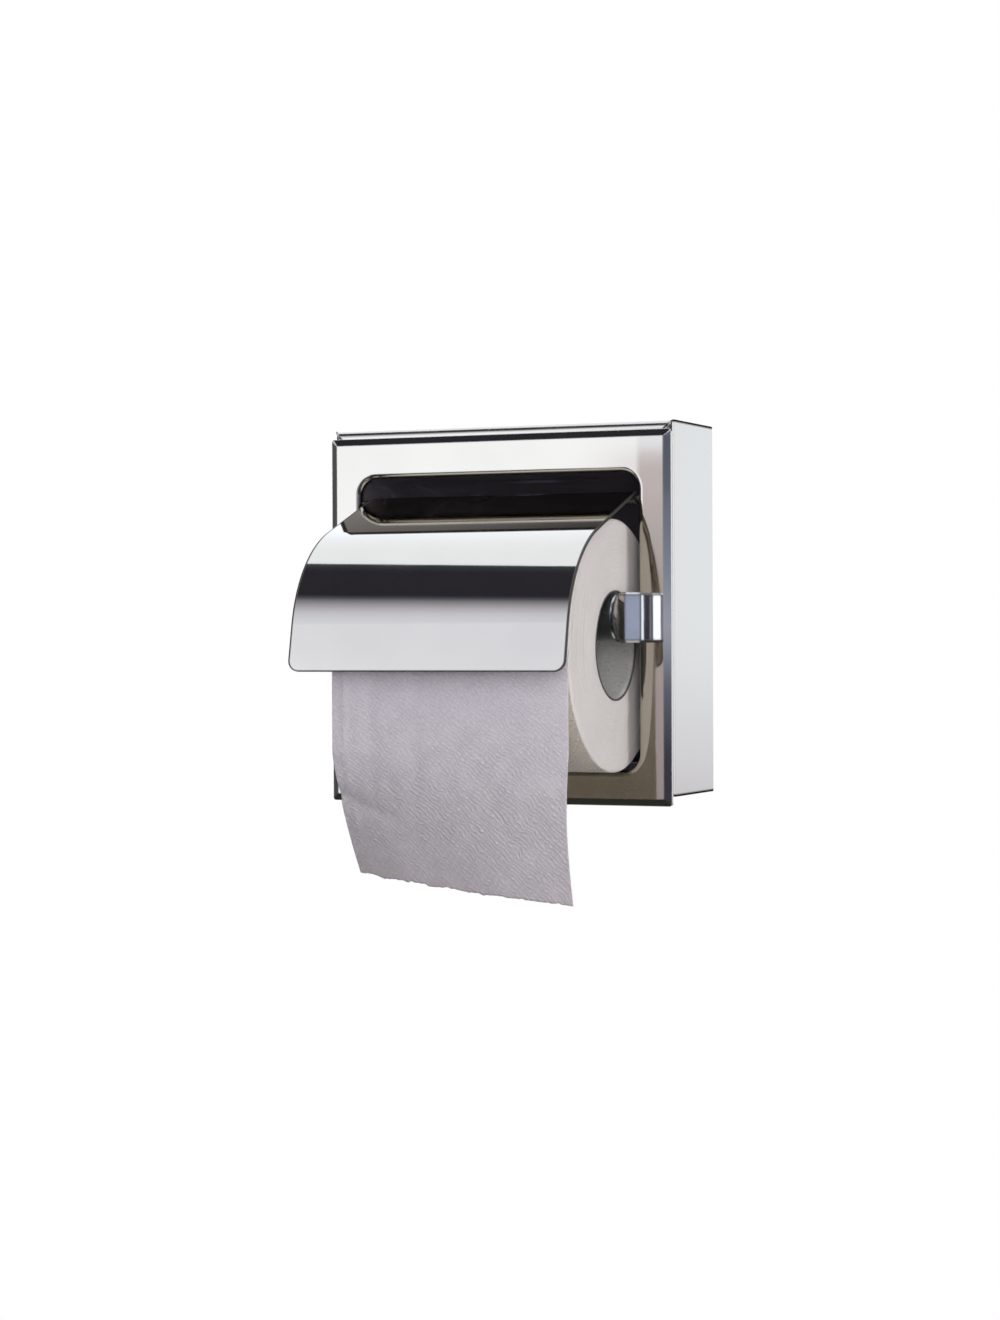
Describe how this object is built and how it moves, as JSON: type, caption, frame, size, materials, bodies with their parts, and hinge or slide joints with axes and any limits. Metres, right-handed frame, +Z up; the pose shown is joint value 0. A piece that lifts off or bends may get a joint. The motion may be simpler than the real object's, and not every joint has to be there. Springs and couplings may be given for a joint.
{
  "type": "toilet paper holder",
  "caption": "Square wall box with a polished front pan, a hinged curved hood, two posts with a sprung spindle, and a paper roll with its sheet hanging down.",
  "frame": {"origin": "centre of the box's back face, in the wall plane, at the middle of the wall screw holes", "axes": "+Z up, +Y into the wall, so the room and the hood are towards -Y, +X to the viewer's right"},
  "size_m": [0.156, 0.1266, 0.1974],
  "materials": {
    "box_steel": "satin",
    "polished_steel": "polished",
    "cast_chrome": "polished",
    "plain_steel": "satin",
    "spindle_chrome": "gloss",
    "core_board": "matte",
    "roll_paper": "matte",
    "sheet_paper": "matte"
  },
  "bodies": {
    "holder": {"mounting_box": "box_steel", "front_pan": "polished_steel", "left_post": "cast_chrome", "right_post": "cast_chrome", "hinge_rod": "plain_steel", "paper_sheet": "sheet_paper", "left_post_upper_screw": "plain_steel", "left_post_lower_screw": "plain_steel", "right_post_upper_screw": "plain_steel", "right_post_lower_screw": "plain_steel", "left_standoff": "plain_steel", "left_pan_washer": "plain_steel", "left_pan_screw": "plain_steel", "left_rod_retainer": "plain_steel", "right_standoff": "plain_steel", "right_pan_washer": "plain_steel", "right_pan_screw": "plain_steel", "right_rod_retainer": "plain_steel"},
    "hood": {"hood": "polished_steel"},
    "roll": {"core_tube": "core_board", "paper_roll": "roll_paper"},
    "spindle_outer_half": {"spindle_outer": "spindle_chrome", "spindle_spring": "plain_steel"},
    "spindle_inner_half": {"spindle_inner": "spindle_chrome"}
  },
  "joints": [
    {"name": "hood_lift", "type": "hinge", "parent": "holder", "child": "hood", "pos_m": [0, -0.0465, 0.046], "axis": [-1, 0, 0], "range_deg": [0, 65]},
    {"name": "roll_spin", "type": "hinge", "parent": "holder", "child": "roll", "pos_m": [0, -0.0645, -0.0154], "axis": [1, 0, 0], "continuous": true},
    {"name": "spindle_spin", "type": "hinge", "parent": "holder", "child": "spindle_outer_half", "pos_m": [0, -0.0645, -0.0039], "axis": [1, 0, 0], "continuous": true},
    {"name": "spindle_press", "type": "slide", "parent": "spindle_outer_half", "child": "spindle_inner_half", "axis": [1, 0, 0], "range_m": [0, 0.0085], "stiffness_N_per_m": 300, "springref_m": -0.02, "deforming": ["spindle_spring"]}
  ]
}
